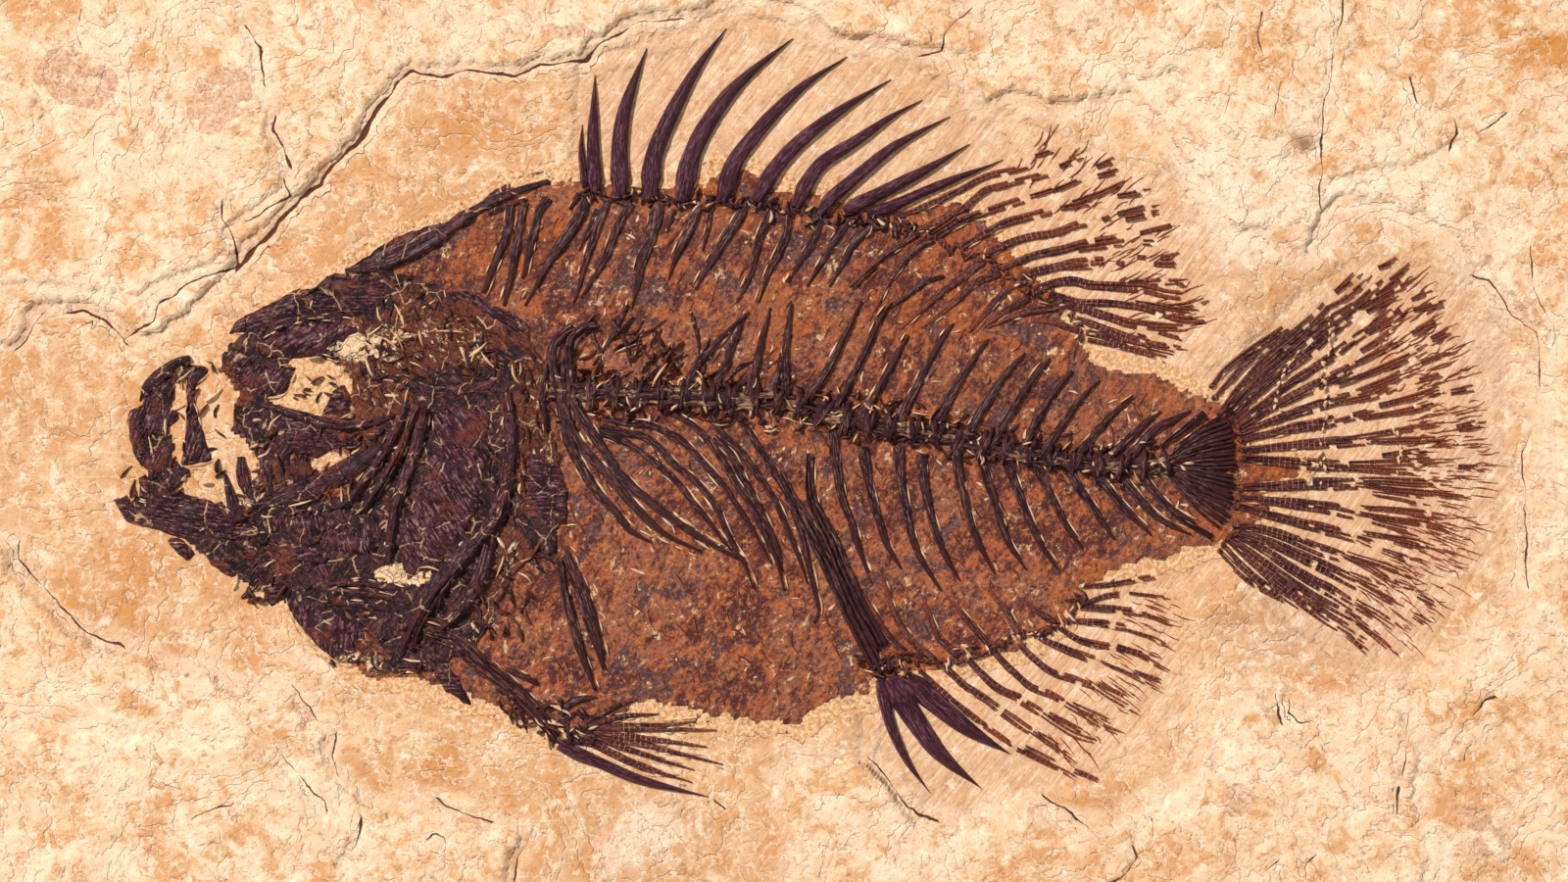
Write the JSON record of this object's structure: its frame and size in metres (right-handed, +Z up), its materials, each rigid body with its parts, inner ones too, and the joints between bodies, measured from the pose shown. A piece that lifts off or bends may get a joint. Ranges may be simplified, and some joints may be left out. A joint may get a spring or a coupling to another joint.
{
  "type": "fossil fish in a limestone slab",
  "caption": "Fossil spiny-finned fish lying on its side in a broken slab of buff laminated limestone, its dark bones proud of a rusty film of scales.",
  "frame": {"origin": "middle of the slab's flat underside", "axes": "+X along the fish towards the tail, +Y towards its back fin, +Z up out of the bedding plane"},
  "size_m": [0.172, 0.102, 0.0115],
  "materials": {
    "limestone": "matt, flaky split surface, cream to ochre",
    "scale_film": "matt mineral film, rusty brown with grey-brown and orange patches",
    "bone": "dark mineralised bone, soft sheen, fine lengthwise grain",
    "fin_ray": "mineralised fin rays, dark at the root and reddish brown at the tips"
  },
  "bodies": {
    "root": {"limestone_slab": "limestone", "scale_film": "scale_film", "dorsal_spine_1": "bone", "dorsal_spine_2": "bone", "dorsal_spine_3": "bone", "dorsal_spine_4": "bone", "dorsal_spine_5": "bone", "dorsal_spine_6": "bone", "dorsal_spine_7": "bone", "dorsal_spine_8": "bone", "dorsal_spine_9": "bone", "dorsal_spine_10": "bone", "dorsal_spine_11": "bone", "anal_spine_1": "bone", "anal_spine_2": "bone", "anal_spine_3": "bone", "pelvic_spine": "bone", "dorsal_fin_supports": "bone", "soft_dorsal_fin": "fin_ray", "supraneural_1": "bone", "supraneural_2": "bone", "supraneural_3": "bone", "first_anal_support": "bone", "soft_anal_fin": "fin_ray", "rib_1": "bone", "rib_2": "bone", "rib_3": "bone", "rib_4": "bone", "rib_5": "bone", "rib_6": "bone", "vertebral_column": "bone", "tail_plates": "bone", "upper_tail_rays": "fin_ray", "middle_tail_rays": "fin_ray", "lower_tail_rays": "fin_ray", "pectoral_fin": "bone", "cleithrum": "bone", "scapula": "bone", "postcleithrum": "bone", "posttemporal": "bone", "pelvic_girdle": "bone", "pelvic_rays": "fin_ray", "preopercle": "bone", "opercle": "bone", "nape_ridge": "bone", "skull_plate_1": "bone", "skull_plate_2": "bone", "skull_plate_3": "bone", "nasal_bone": "bone", "parasphenoid": "bone", "premaxilla": "bone", "maxilla": "bone", "lower_jaw": "bone", "jaw_hinge": "bone", "pterygoid": "bone", "throat_plate": "bone", "gill_rays": "bone", "braincase": "bone"}
  },
  "joints": []
}
